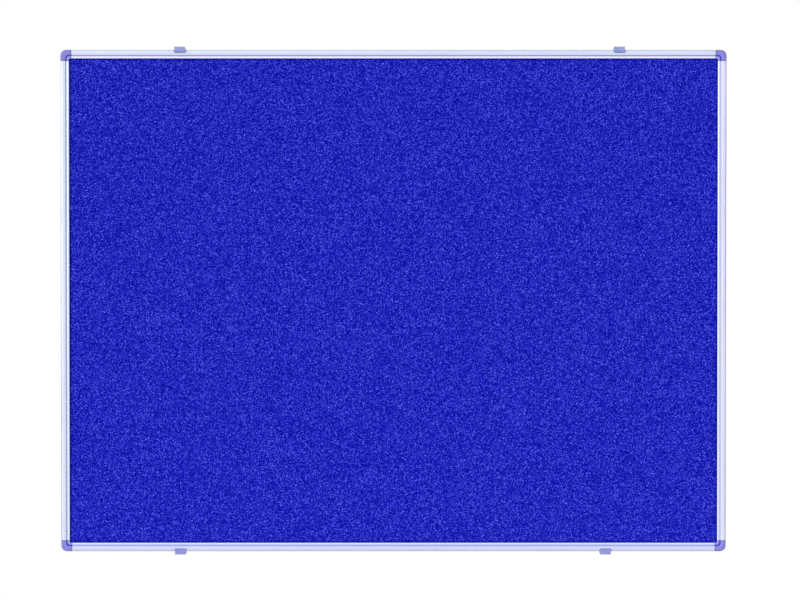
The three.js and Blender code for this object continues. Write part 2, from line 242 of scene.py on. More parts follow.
class Pen:
    """Draws an outline by extruding and spinning its last point."""

    def __init__(self, bm, plane, first, second, origin=Vector()):
        self.bm = bm
        self.right, self.up = plane
        self.origin = origin
        self.start = bm.verts.new(self.place(first, second))
        self.last = self.start
        self.verts = [self.start]

    def place(self, first, second):
        return self.origin + self.right * first + self.up * second

    def line(self, first, second):
        self.last = bmesh.ops.extrude_vert_indiv(self.bm, verts=[self.last])["verts"][0]
        self.last.co = self.place(first, second)
        self.verts.append(self.last)

    def arc(self, first, second, angle, steps, crown=1.0):
        """Turns the last point about a centre, anticlockwise in the drawing. A crown other
        than 1 makes it a part of an ellipse, that much higher along the second direction."""
        centre = self.place(first, second)
        axis = self.right.cross(self.up)
        before = set(self.bm.verts)
        spun = bmesh.ops.spin(
            self.bm, geom=[self.last], cent=centre, axis=axis, angle=angle, steps=steps
        )
        self.last = next(g for g in spun["geom_last"] if isinstance(g, bmesh.types.BMVert))
        made = [v for v in self.bm.verts if v not in before]
        for vert in made:
            rise = (vert.co - centre).dot(self.up)
            vert.co += self.up * rise * (crown - 1)
        self.verts.extend(made)

    def curve(self, bend, end, steps):
        """A curve with one bending point, to its end."""
        near, middle, far = self.last.co.copy(), self.place(*bend), self.place(*end)
        for step in range(1, steps + 1):
            share = step / steps
            spot = near.lerp(middle, share).lerp(middle.lerp(far, share), share) - self.origin
            self.line(spot.dot(self.right), spot.dot(self.up))

    def close(self):
        self.bm.edges.new((self.last, self.start))
        return self


def draw_polygon(bm, plane, corners, origin=Vector()):
    pen = Pen(bm, plane, *corners[0], origin=origin)
    for corner in corners[1:]:
        pen.line(*corner)
    return pen.close()


def once(items):
    """The items in their order, each of them once."""
    return list(dict.fromkeys(items))


def faces_of(geometry):
    return [g for g in geometry if isinstance(g, bmesh.types.BMFace)]


def fill(bm):
    """Fills all the outlines that are drawn, as one flat region with its holes left open."""
    return faces_of(bmesh.ops.triangle_fill(bm, edges=bm.edges[:], use_beauty=True)["geom"])


def draw_out(bm, faces, offset=Vector()):
    """Draws faces out into a solid, and gives the faces at its far end."""
    edges = once(edge for face in faces for edge in face.edges)
    made = faces_of(bmesh.ops.extrude_face_region(bm, geom=faces + edges)["geom"])
    verts = once(vert for face in made for vert in face.verts)
    bmesh.ops.translate(bm, vec=offset, verts=verts)
    return made


def close_up(bm):
    """Merges points in the same place and turns every face outwards."""
    bmesh.ops.remove_doubles(bm, verts=bm.verts[:], dist=same_place)
    bmesh.ops.dissolve_limit(bm, angle_limit=flat_angle, verts=bm.verts[:], edges=bm.edges[:])
    bmesh.ops.recalc_face_normals(bm, faces=bm.faces[:])


def round_off(bm, width):
    """Rounds the sharp outer edges of a solid."""
    sharp = [e for e in bm.edges if e.is_manifold and e.calc_face_angle_signed() > sharp_angle]
    bmesh.ops.bevel(
        bm, geom=sharp, offset=width, offset_type="OFFSET", segments=round_steps,
        profile=0.5, affect="EDGES", clamp_overlap=True, material=-1,
    )


def soften(bm):
    """Shades faces smooth, except across edges that are sharp."""
    for face in bm.faces:
        face.smooth = True
    for edge in bm.edges:
        edge.smooth = not edge.is_manifold or edge.calc_face_angle() < sharp_angle


def add_object(name, data):
    made = bpy.data.objects.new(name, data)
    bpy.context.scene.collection.objects.link(made)
    return made


def to_object(bm, name):
    mesh = bpy.data.meshes.new(name)
    bm.to_mesh(mesh)
    bm.free()
    return add_object(name, mesh)


def copy_of(piece, name):
    return add_object(name, piece.data.copy())


def combine(piece, other, operation):
    """Joins another solid to a piece or cuts it out, and removes the other."""
    modifier = piece.modifiers.new(operation, "BOOLEAN")
    modifier.operation = operation
    modifier.solver = "EXACT"
    modifier.object = other
    evaluated = piece.evaluated_get(bpy.context.evaluated_depsgraph_get())
    mesh = bpy.data.meshes.new_from_object(evaluated)
    piece.modifiers.clear()
    piece.data = mesh
    bpy.data.objects.remove(other)


def rework(piece, *steps):
    """Takes a piece's mesh through some steps of work."""
    bm = bmesh.new()
    bm.from_mesh(piece.data)
    for step in steps:
        step(bm)
    bm.to_mesh(piece.data)
    bm.free()


def shade_flats(piece):
    """Shades flat faces flat where they run into rounded ones."""
    flats = piece.modifiers.new("flat_faces", "WEIGHTED_NORMAL")
    flats.keep_sharp = True


def tidy(piece):
    """Cleans a piece's mesh after it was cut, and shades it."""
    rework(piece, close_up, soften)
    shade_flats(piece)


def put(piece, material, body, node, place=Matrix()):
    """Sets a finished piece in its place, with its finish and its body, and hides the node it stands
    for.
    """
    piece.data.transform(place)
    piece.data.materials.clear()
    piece.data.materials.append(material)
    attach(piece, body)
    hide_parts(node)


class Value:
    """One output of a node. Arithmetic on it adds Math nodes."""

    def __init__(self, finish, socket):
        self.finish = finish
        self.socket = socket

    def maths(self, operation, first, second):
        return self.finish.node("ShaderNodeMath", {"operation": operation}, {0: first, 1: second})

    def __add__(self, other):
        return self.maths("ADD", self, other)

    def __radd__(self, other):
        return self.maths("ADD", other, self)

    def __sub__(self, other):
        return self.maths("SUBTRACT", self, other)

    def __rsub__(self, other):
        return self.maths("SUBTRACT", other, self)

    def __mul__(self, other):
        return self.maths("MULTIPLY", self, other)

    def __rmul__(self, other):
        return self.maths("MULTIPLY", other, self)

    def __abs__(self):
        return self.maths("ABSOLUTE", self, 0)

    def most(self, other):
        """The greater of two values."""
        return self.maths("MAXIMUM", self, other)


class Finish:
    """The nodes of a material, or of the world."""

    def __init__(self, owner):
        owner.use_nodes = True
        self.owner = owner
        self.tree = owner.node_tree
        self.tree.nodes.clear()

    def node(self, kind, settings, sockets, output=0):
        made = self.tree.nodes.new(kind)
        for name, value in settings.items():
            if name == "stops":
                self.set_stops(made.color_ramp.elements, value)
            else:
                setattr(made, name, value)
        for name, value in sockets.items():
            if isinstance(value, Value):
                self.tree.links.new(value.socket, made.inputs[name])
            else:
                made.inputs[name].default_value = value
        return Value(self, made.outputs[output]) if made.outputs else None

    @staticmethod
    def set_stops(elements, stops):
        while len(elements) < len(stops):
            elements.new(1)
        for element, (position, shade) in zip(elements, stops):
            element.position = position
            element.color = shade

    def attribute(self, name):
        return self.node("ShaderNodeAttribute", {"attribute_name": name}, {}, "Fac")

    def spot(self):
        """Where a point lies on the object."""
        return self.node("ShaderNodeTexCoord", {}, {}, "Object")

    def waving(self, length, height):
        """Where a point lies, moved a little, so that straight patterns wave."""
        spot = self.spot()
        shift = self.node("ShaderNodeTexNoise", {}, {"Vector": spot, "Scale": 1 / length}, 1)
        centred = self.node("ShaderNodeVectorMath", {"operation": "SUBTRACT"}, {
            0: shift,
            1: (0.5, 0.5, 0.5),
        })
        return self.node("ShaderNodeVectorMath", {"operation": "MULTIPLY_ADD"}, {
            0: centred,
            1: (height, height, height),
            2: spot,
        })

    def noise(self, size, turn=(0, 0, 0), detail=2.0, roughness=0.5, distortion=0.0, at=None):
        """Noise with blotches of a size, or of one size along each axis."""
        sizes = size if isinstance(size, tuple) else (size, size, size)
        where = self.node("ShaderNodeMapping", {"vector_type": "TEXTURE"}, {
            "Vector": at or self.spot(),
            "Scale": sizes,
            "Rotation": turn,
        })
        return self.node("ShaderNodeTexNoise", {}, {
            "Vector": where,
            "Scale": 1.0,
            "Detail": detail,
            "Roughness": roughness,
            "Distortion": distortion,
        })

    def ramp(self, factor, stops):
        return self.node("ShaderNodeValToRGB", {"stops": stops}, {"Fac": factor})

    def mask(self, factor, low, high):
        """Runs from 0 to 1 as the factor goes from low to high."""
        return self.node("ShaderNodeMapRange", {"clamp": True}, {
            "Value": factor,
            "From Min": low,
            "From Max": high,
        })

    def mix(self, factor, first, second):
        return self.node("ShaderNodeMix", {"data_type": "RGBA"}, {0: factor, 6: first, 7: second}, 2)

    def bump(self, height, strength, distance):
        return self.node("ShaderNodeBump", {}, {
            "Height": height,
            "Strength": strength,
            "Distance": distance,
        })

    def surface(self, sockets):
        shader = self.node("ShaderNodeBsdfPrincipled", {}, sockets)
        self.node("ShaderNodeOutputMaterial", {}, {"Surface": shader})
        return self.owner


def stretched(along, length, width):
    """The sizes of a pattern that runs along one axis."""
    return tuple(length if axis == along else width for axis in "XYZ")


def colour(red, green, blue):
    """A colour as it is seen on a screen, from 0 to 255, as the shader wants it."""
    def linear(level):
        share = level / 255
        return share / 12.92 if share <= 0.04045 else ((share + 0.055) / 1.055) ** 2.4

    return (linear(red), linear(green), linear(blue), 1.0)


def anodised_aluminium(side, groove, edge, band, bead):
    """Satin anodising over the lines that the die leaves along the rail, coloured with the painted
    light and shade that the section carries.
    """
    finish = Finish(bpy.data.materials.new(f"anodised_aluminium_{side}"))
    along = "X" if side in ("top", "bottom") else "Z"
    lines = finish.noise(stretched(along, 25 * mm, 0.4 * mm), detail=3.0, roughness=0.6)
    bands = finish.noise(stretched(along, 110 * mm, 8 * mm))
    clouds = finish.noise(26 * mm, detail=3.0, roughness=0.6)
    tone = finish.mask(lines * 0.35 + bands * 0.4 + clouds * 0.25, 0.3, 0.7)
    # Painted shade in the groove and at the outer edge, painted highlight on the bead, the band's
    # own colour between; the die lines' tone varies it at random
    bright = finish.attribute("polish") + (tone - 0.5) * 0.12
    return finish.surface({
        "Base Color": finish.ramp(bright, [
            (groove_shade, groove),
            (side_shade, edge),
            (plain_band, band),
            (bead_highlight, bead),
        ]),
        "Metallic": 0.75,
        "Roughness": 0.34 + 0.12 * tone,
        "Normal": finish.bump(lines, 0.12, 0.05 * mm),
    })


def moulded_grain(finish):
    """The fine spark eroded texture of moulded plastic, and the tone of its flow clouds."""
    grain = finish.noise(0.19 * mm)
    flow = finish.noise(6 * mm, detail=3.0, distortion=0.6)
    return grain, finish.mask(flow * 0.7 + grain * 0.3, 0.3, 0.7)


def corner_plastic():
    """Moulded plastic, with painted shade down in its groove and on its sides, and a painted
    highlight on its bead.
    """
    finish = Finish(bpy.data.materials.new("corner_plastic"))
    grain, tone = moulded_grain(finish)
    bright = finish.attribute("polish") + (tone - 0.5) * 0.16
    return finish.surface({
        "Base Color": finish.ramp(bright, [
            (groove_shade, colour(66, 62, 168)),
            (side_shade, colour(112, 110, 178)),
            (plain_band, colour(131, 128, 215)),
            (bead_highlight, colour(147, 148, 251)),
        ]),
        "Roughness": 0.42 + 0.10 * grain,
        "Normal": finish.bump(grain, 0.20, 0.04 * mm),
    })


def clip_plastic(side, dark, light, rim, lip_edge):
    """Paler moulded plastic, with painted shade: greyer at its rim and darker along the edge of its
    lip.
    """
    finish = Finish(bpy.data.materials.new(f"clip_plastic_{side}"))
    grain, tone = moulded_grain(finish)
    across = finish.attribute("across")
    inset = finish.attribute("inset")
    forward = finish.attribute("forward")
    # Painted shade on the clip's rounded rim
    flanks = finish.mask(abs(across), clip_half - rim_width, clip_half)
    outer = finish.mask(inset, rim_width - clip_stand, -clip_stand)
    front = finish.mask(forward, clip_front - rim_width, clip_front)
    rim_shade = flanks.most(outer) * front * (0.7 + 0.5 * tone)
    # A painted shadow along the lip's inner edge, as dark as the lip edge colour given for each side
    full = clip_reach - lip_edge_full_share * lip_edge_width
    inner = finish.mask(inset, clip_reach - lip_edge_width, full)
    inner = inner * finish.mask(forward, rail_rear, rail_front)
    plain = finish.mix(tone, dark, light)
    return finish.surface({
        "Base Color": finish.mix(inner, finish.mix(rim_shade, plain, rim), lip_edge),
        "Roughness": 0.40 + 0.10 * grain,
        "Normal": finish.bump(grain, 0.20, 0.04 * mm),
    })


def needled_felt():
    """Needled felt: tufts a few millimetres across, with single fibres crossing over them."""
    finish = Finish(bpy.data.materials.new("needled_felt"))
    tufts = finish.noise(1.9 * mm, detail=0.0)
    specks = finish.noise(0.9 * mm, detail=2.0, roughness=0.6)
    clouds = finish.noise((60 * mm, 60 * mm, 110 * mm))
    fibre = (5 * mm, 5 * mm, 0.24 * mm)
    waves = finish.waving(4 * mm, 2.4 * mm)
    layers = [finish.noise(fibre, (0, turn, 0), detail=0.0, at=waves) for turn in felt_fibre_turns]
    fibres = finish.mask(reduce(Value.most, layers), 0.56, 0.80)
    tone = tufts * 0.66 + specks * 0.26 + clouds * 0.02 + fibres * 0.20
    # A painted shadow of the lip on the felt along its edge
    tone = tone - finish.attribute("lip_shade") * 0.08
    return finish.surface({
        "Base Color": finish.ramp(finish.mask(tone, 0.32, 0.87), [
            (0.00, colour(3, 6, 132)),
            (0.30, colour(10, 14, 163)),
            (0.50, colour(26, 33, 192)),
            (0.70, colour(64, 72, 226)),
            (1.00, colour(134, 142, 250)),
        ]),
        "Roughness": 0.95,
        "Specular IOR Level": 0.0,
        "Sheen Weight": 0.02,
        "Sheen Roughness": 0.6,
        "Normal": finish.bump(tufts * 0.5 + fibres * 0.5, 0.6, 0.4 * mm),
    })


def softboard():
    """Soft fibreboard, pale brown, with coarse loose fibres."""
    finish = Finish(bpy.data.materials.new("softboard"))
    fibres = finish.noise((1.5 * mm, 0.3 * mm, 1.5 * mm), detail=4.0, distortion=1.2)
    clumps = finish.noise(8 * mm, detail=3.0)
    return finish.surface({
        "Base Color": finish.ramp(fibres * 0.6 + clumps * 0.4, [
            (0.25, colour(134, 108, 74)),
            (0.55, colour(171, 145, 106)),
            (0.80, colour(198, 175, 138)),
        ]),
        "Roughness": 0.9,
        "Normal": finish.bump(fibres, 0.7, 0.4 * mm),
    })


def hardboard():
    """Thin hardboard, smooth side out: pressed fibres, dark flecks and a faint gloss."""
    finish = Finish(bpy.data.materials.new("hardboard"))
    fibres = finish.noise((2.4 * mm, 1.0 * mm, 0.7 * mm), detail=4.0, distortion=2.0)
    across = finish.noise((0.7 * mm, 1.0 * mm, 3.0 * mm), turn=(0, 0.4, 0), detail=3.0)
    flecks = finish.mask(finish.noise(1.8 * mm, detail=2.0), 0.60, 0.72)
    clouds = finish.noise(140 * mm, detail=4.0, roughness=0.6)
    tone = finish.mask(fibres * 0.4 + across * 0.3 + clouds * 0.3, 0.34, 0.66)
    board = finish.ramp(tone, [
        (0.0, colour(96, 66, 42)),
        (0.5, colour(124, 88, 58)),
        (1.0, colour(150, 112, 77)),
    ])
    return finish.surface({
        "Base Color": finish.mix(flecks * 0.7, board, colour(66, 44, 28)),
        "Roughness": 0.52 + 0.2 * fibres,
        "Normal": finish.bump(fibres * 0.6 + across * 0.4, 0.25, 0.15 * mm),
    })


def zinc_plated_steel():
    """Bright zinc plating, a little clouded."""
    finish = Finish(bpy.data.materials.new("zinc_plated_steel"))
    clouds = finish.noise(1.1 * mm, detail=3.0)
    return finish.surface({
        "Base Color": finish.mix(clouds, colour(168, 172, 180), colour(206, 208, 212)),
        "Metallic": 0.95,
        "Roughness": 0.26 + 0.2 * clouds,
        "Normal": finish.bump(clouds, 0.1, 0.05 * mm),
    })


# Each side and each corner of the frame: its turn from the bottom side or the bottom left
# corner, which are modelled with z pointing in from the outer edge, and its place
sides = {
    "bottom": (0.0, 0.0, -half_height),
    "top": (math.pi, 0.0, half_height),
    "left": (math.pi / 2, -half_width, 0.0),
    "right": (-math.pi / 2, half_width, 0.0),
}
corners = {
    "bottom_left": (0.0, -half_width, -half_height),
    "bottom_right": (-math.pi / 2, half_width, -half_height),
    "top_right": (math.pi, half_width, half_height),
    "top_left": (math.pi / 2, -half_width, half_height),
}
half_lengths = {
    "bottom": rail_half_length,
    "top": rail_half_length,
    "left": upright_half_length,
    "right": upright_half_length,
}


def frame_place(turn, x, z):
    """Turns a piece that is modelled along the bottom, and sets it in its place."""
    return Matrix.Translation((x, 0, z)) @ Matrix.Rotation(turn, 4, "Y")


def draw_face(pen):
    """The visible face, from the outer side over the band and the groove to the bead's nose."""
    bead_half = bead_width / 2
    pen.line(0, shoulder_w)
    pen.arc(shoulder_radius, shoulder_w, band_end_slope - math.pi / 2, shoulder_steps)
    pen.arc(band_centre_u, band_centre_w, -2 * band_end_slope, band_steps)
    pen.line(band_width + groove_taper, groove_floor)
    pen.line(band_width + groove_width - groove_taper, groove_floor)
    pen.line(face_width - bead_width, bead_spring)
    pen.arc(face_width - bead_half, bead_spring, -math.pi, bead_steps, crown=bead_crown / bead_half)
    pen.line(face_width, lip_under + bead_nose)
    pen.arc(face_width - bead_nose, lip_under + bead_nose, -math.pi / 2, nose_steps)


def draw_channel(pen):
    """The channel that holds the panel's edge, and the lip behind the panel."""
    pen.line(channel_wall, lip_under)
    pen.line(channel_wall, channel_floor)
    pen.line(channel_wall + rear_lip, channel_floor)
    pen.line(channel_wall + rear_lip, rail_rear)


def draw_chamber(bm, origin):
    """The hollow in the rail, one wall's thickness inside its outer side, track and band."""
    roof_radius = band_radius - rail_wall
    start_angle = math.acos((rail_wall - band_centre_u) / roof_radius)
    end_angle = math.acos((chamber_end - band_centre_u) / roof_radius)
    roof_w = band_centre_w + roof_radius * math.sin(start_angle)
    pen = Pen(bm, across_section, rail_wall, channel_floor, origin)
    pen.line(rail_wall, track_low - track_taper)
    pen.line(rail_wall + track_depth, track_low)
    pen.line(rail_wall + track_depth, track_high)
    pen.line(rail_wall, track_high + track_taper)
    pen.line(rail_wall, roof_w)
    pen.arc(band_centre_u, band_centre_w, end_angle - start_angle, band_steps)
    pen.line(chamber_end, channel_floor)
    pen.close()


def spin_round(bm, centre):
    """Spins what is drawn all the way round an axis square to the wall."""
    bmesh.ops.spin(
        bm, geom=bm.verts[:] + bm.edges[:], cent=centre, axis=(0, 1, 0),
        angle=2 * math.pi, steps=turned_steps, use_merge=True,
    )


def turned(profile, x, u, name):
    """A solid turned about an axis square to the wall. Its profile is a list of
    (radius, distance from the wall) pairs that starts and ends on the axis."""
    bm = bmesh.new()
    centre = Vector((x, 0, u))
    pen = Pen(bm, from_axis, *profile[0], centre)
    for radius, w in profile[1:]:
        pen.line(radius, w)
    spin_round(bm, centre)
    close_up(bm)
    return to_object(bm, name)


def screw_hole(x):
    radius = screw_shank_radius + screw_fit
    bottom = rail_rear - overrun
    top = rail_rear + screw_shank_length + screw_fit
    profile = [(0, bottom), (radius, bottom), (radius, top), (0, top)]
    return turned(profile, x, screw_place, "screw_hole")


def clamp(share):
    return min(max(share, 0), 1)


def brightness(u, w, edge):
    """How bright the section is painted at a place: painted shade in the groove, on the bead's nose
    and towards the outer edge, which starts from the level given for that edge, and painted
    highlights on the bead and along the band's inner edge.
    """
    if abs(w - groove_floor) < same_place:
        return groove_shade
    if u > face_width - bead_width:
        share = clamp((face_width - u) / nose_shade_width)
        return side_shade + (bead_highlight - side_shade) * share
    if w > shoulder_w and u > band_width - edge_highlight_width:
        return edge_highlight
    share = clamp((u - edge_start) / (edge_end - edge_start))
    return edge + (plain_band - edge) * share


def even_back(piece, level):
    """Finishes everything behind the lip alike, where holes and pockets are cut."""
    marks = piece.data.attributes["polish"].data
    for vert, mark in zip(piece.data.vertices, marks):
        if -vert.co.y < lip_under - same_place:
            mark.value = level


def make_rail(side, material):
    half_length = half_lengths[side]
    bm = bmesh.new()
    polish = bm.verts.layers.float.new("polish")
    origin = Vector((-half_length, 0, 0))
    pen = Pen(bm, across_section, 0, rail_rear, origin)
    pen.line(0, track_low)
    pen.line(track_depth, track_low + track_taper)
    pen.line(track_depth, track_high - track_taper)
    pen.line(0, track_high)
    draw_face(pen)
    draw_channel(pen)
    pen.close()
    draw_chamber(bm, origin)
    draw_out(bm, fill(bm), Vector((2 * half_length, 0, 0)))
    # Paints light and shade across the section: shade in the groove, on the outer edge and the
    # bead's nose, highlights on the band's edge and the bead
    for vert in bm.verts:
        vert[polish] = brightness(vert.co.z, -vert.co.y, side_shade)
    close_up(bm)
    rail = to_object(bm, f"{side}_rail_extrusion")
    reach = half_length - screw_inset
    for x in (-reach, reach):
        combine(rail, screw_hole(x), "DIFFERENCE")
    even_back(rail, side_shade)
    tidy(rail)
    put(rail, material, "board", f"{side}_rail", frame_place(*sides[side]))


def turn_at(u):
    """The radius at which a line of the face turns the corner."""
    groove_end = band_width + groove_width
    if u < groove_end:
        return outer_turn + (groove_turn - outer_turn) * u / groove_end
    return groove_turn + (lip_turn - groove_turn) * (u - groove_end) / (face_width - groove_end)


def corner_body():
    """The rail's face and channel carried round the corner, each line on its own radius."""
    bm = bmesh.new()
    turn_layer = bm.verts.layers.float.new("turn")
    inset_layer = bm.verts.layers.float.new("inset")
    polish = bm.verts.layers.float.new("polish")
    arm_end = corner_arm - corner_end_round
    arm_shade_from = arm_end - arm_end_shade_width
    pen = Pen(bm, across_section, 0, rail_rear, Vector((arm_end, 0, 0)))
    draw_face(pen)
    face_count = len(pen.verts)
    draw_channel(pen)
    for index, vert in enumerate(pen.verts):
        vert[inset_layer] = vert.co.z
        vert[turn_layer] = turn_at(vert.co.z) if index < face_count else channel_turn
    pen.close()
    start = bm.faces.new(pen.verts)
    end = draw_out(bm, [start])[0]
    for vert in end.verts:
        vert.co.x = max(arm_shade_from, vert[inset_layer] + vert[turn_layer])
    for step in range(corner_steps + 1):
        end = draw_out(bm, [end])[0]
        angle = -math.pi / 2 * (1 + step / corner_steps)
        for vert in end.verts:
            inset, turn = vert[inset_layer], vert[turn_layer]
            middle = inset + turn
            vert.co.x = middle + turn * math.cos(angle)
            vert.co.z = middle + turn * math.sin(angle)
    for place in (arm_shade_from, arm_end):
        end = draw_out(bm, [end])[0]
        for vert in end.verts:
            vert.co.z = max(place, vert[inset_layer] + vert[turn_layer])
    # Paints light and shade as on the rails, and a painted shadow at the arm ends, where the corner
    # meets the rails
    for vert in bm.verts:
        at_end = max(vert.co.x, vert.co.z) > arm_end - same_place
        bright = brightness(vert[inset_layer], -vert.co.y, deep_side_shade)
        vert[polish] = min(bright, deep_side_shade) if at_end else bright
    for cap in (start, end):
        for inwards, outwards in corner_end_shares:
            bmesh.ops.inset_region(
                bm, faces=[cap],
                thickness=corner_end_round * inwards, depth=corner_end_round * outwards,
            )
    close_up(bm)
    return to_object(bm, "corner_body")


def corner_spigot():
    """A U shaped spigot along a side, with a thick base for the corner screw to bite."""
    bm = bmesh.new()
    base = spigot_floor + spigot_base
    draw_polygon(bm, across_section, [
        (spigot_start, spigot_floor),
        (spigot_end, spigot_floor),
        (spigot_end, spigot_top),
        (spigot_end - spigot_wall, spigot_top),
        (spigot_end - spigot_wall, base),
        (spigot_start + spigot_wall, base),
        (spigot_start + spigot_wall, spigot_top),
        (spigot_start, spigot_top),
    ], Vector((corner_arm - spigot_root, 0, 0)))
    draw_out(bm, fill(bm), Vector((spigot_root + spigot_length, 0, 0)))
    close_up(bm)
    spigot = to_object(bm, "spigot")
    combine(spigot, screw_hole(corner_arm + screw_inset), "DIFFERENCE")
    return spigot


def corner_pocket():
    """The hollows in the corner's back, with a rib across the corner and one across each arm."""
    bm = bmesh.new()
    end = channel_wall - pocket_wall
    reach = corner_arm - spigot_root
    pen = Pen(bm, across_board, reach, pocket_wall, Vector((0, overrun - rail_rear, 0)))
    pen.line(reach, end)
    pen.line(end, end)
    pen.line(end, reach)
    pen.line(pocket_wall, reach)
    pen.line(pocket_wall, outer_turn)
    pen.arc(outer_turn, outer_turn, math.pi / 2, corner_steps // 2)
    pen.close()
    fill(bm)
    half_rib = pocket_rib / 2
    rib_place = (end + reach) / 2 + half_rib
    ribs = [
        (Vector((rib_place, 0, 0)), Vector((1, 0, 0))),
        (Vector((0, 0, rib_place)), Vector((0, 0, 1))),
        (Vector(), Vector((1, 0, -1)).normalized()),
    ]
    for point, across in ribs:
        for side in (-half_rib, half_rib):
            bmesh.ops.bisect_plane(
                bm, geom=bm.verts[:] + bm.edges[:] + bm.faces[:],
                plane_co=point + across * side, plane_no=across,
            )
    in_ribs = [
        face for face in bm.faces
        if any(
            abs((face.calc_center_median() - point).dot(across)) < half_rib
            for point, across in ribs
        )
    ]
    bmesh.ops.delete(bm, geom=in_ribs, context="FACES")
    draw_out(bm, bm.faces[:], Vector((0, -pocket_depth - overrun, 0)))
    close_up(bm)
    return to_object(bm, "pocket")


def make_corner():
    """One bottom left corner, for the others to copy."""
    corner = corner_body()
    combine(corner, corner_pocket(), "DIFFERENCE")
    one_arm = Matrix()
    other_arm = Matrix(((0, 0, 1, 0), (0, 1, 0, 0), (1, 0, 0, 0), (0, 0, 0, 1)))
    for place in (one_arm, other_arm):
        spigot = corner_spigot()
        spigot.data.transform(place)
        rework(spigot, close_up)
        combine(corner, spigot, "UNION")
    even_back(corner, deep_side_shade)
    return corner


def make_corners(material):
    corner = make_corner()
    for name, place in corners.items():
        piece = copy_of(corner, f"corner_{name}_moulding")
        tidy(piece)
        put(piece, material, "board", f"corner_{name}", frame_place(*place))
    bpy.data.objects.remove(corner)


def cross_outline():
    """The corners of a cross: those of one arm, turned a quarter for each of the others."""
    half_long, half_wide = cross_length / 2, cross_width / 2
    arm = [(half_long, -half_wide), (half_long, half_wide), (half_wide, half_wide)]
    outline = []
    for quarter in range(4):
        outline += arm
        arm = [(-second, first) for first, second in arm]
    return outline


def make_screw():
    """A pan head screw with a cross recess, on the axis through the origin."""
    under_head = rail_rear - screw_seat
    face = under_head - screw_head_height
    shank_end = rail_rear + screw_shank_length
    flat = screw_head_radius - screw_head_round
    bm = bmesh.new()
    pen = Pen(bm, from_axis, flat, face)
    pen.arc(flat, face + screw_head_round, math.pi / 2, shoulder_steps)
    pen.line(screw_head_radius, under_head)
    pen.line(screw_shank_radius, under_head)
    pen.line(screw_shank_radius, shank_end - screw_tip)
    pen.line(0, shank_end)
    spin_round(bm, Vector())
    bmesh.ops.remove_doubles(bm, verts=bm.verts[:], dist=same_place)
    rim = [edge for edge in bm.edges if edge.is_boundary]
    cross = draw_polygon(bm, across_board, cross_outline(), Vector((0, -face, 0)))
    edges = once(edge for vert in cross.verts for edge in vert.link_edges)
    bmesh.ops.triangle_fill(bm, edges=rim + edges, use_beauty=True)
    mouth = bm.faces.new(cross.verts)
    floor = draw_out(bm, [mouth], Vector((0, -cross_depth, 0)))[0]
    bmesh.ops.scale(bm, vec=(cross_draft, 1, cross_draft), verts=floor.verts[:])
    bmesh.ops.recalc_face_normals(bm, faces=bm.faces[:])
    soften(bm)
    return to_object(bm, "screw")


def make_screws(material):
    screw = make_screw()
    # The ends of each side, as they come along x before the side is turned
    ends = {
        "bottom": ("left", "right"),
        "top": ("right", "left"),
        "left": ("top", "bottom"),
        "right": ("bottom", "top"),
    }
    for side, names in ends.items():
        reach = half_lengths[side] - screw_inset
        for end, x in zip(names, (-reach, reach)):
            piece = copy_of(screw, f"{side}_rail_pan_head_{end}")
            shade_flats(piece)
            place = frame_place(*sides[side]) @ Matrix.Translation((x, 0, screw_place))
            put(piece, material, "board", f"{side}_rail_screw_{end}", place)
    bpy.data.objects.remove(screw)


def clip_body():
    """The clip's section drawn out to its width: a stand beside the rail, a lip over its
    band, a barb in its track and a plate behind it."""
    bm = bmesh.new()
    barb_tip = track_depth - clip_fit
    barb_half = track_width / 2 - track_taper - clip_fit
    barb_root = barb_half + track_taper
    peak = clip_reach - ridge_width * (1 - ridge_peak_share)
    pen = Pen(bm, across_section, -clip_stand, 0, Vector((-clip_half, 0, 0)))
    pen.line(-clip_stand, clip_front - clip_edge_radius)
    pen.arc(clip_edge_radius - clip_stand, clip_front - clip_edge_radius, -math.pi / 2, nose_steps)
    pen.line(clip_reach - ridge_width, clip_front)
    pen.curve((peak, ridge_bend), (clip_reach, clip_front - ridge_height), ridge_steps)
    pen.line(clip_reach, clip_under)
    pen.line(-clip_fit, clip_under)
    pen.line(-clip_fit, track_centre + barb_root)
    pen.line(barb_tip, track_centre + barb_half)
    pen.line(barb_tip, track_centre - barb_half)
    pen.line(-clip_fit, track_centre - barb_root)
    pen.line(-clip_fit, clip_plate)
    pen.line(clip_tail, clip_plate)
    pen.line(clip_tail, 0)
    pen.close()
    draw_out(bm, fill(bm), Vector((2 * clip_half, 0, 0)))
    close_up(bm)
    round_off(bm, clip_round)
    return to_object(bm, "clip_body")


def standing(plan, low, high, name):
    """A plan in the board's plane, stood out from one distance off the wall to another, with
    its edges rounded."""
    bm = bmesh.new()
    draw_polygon(bm, across_board, plan, Vector((0, -low, 0)))
    draw_out(bm, fill(bm), Vector((0, low - high, 0)))
    close_up(bm)
    round_off(bm, clip_round)
    return to_object(bm, name)


def rectangle(left, low, right, high):
    return [(left, low), (right, low), (right, high), (left, high)]


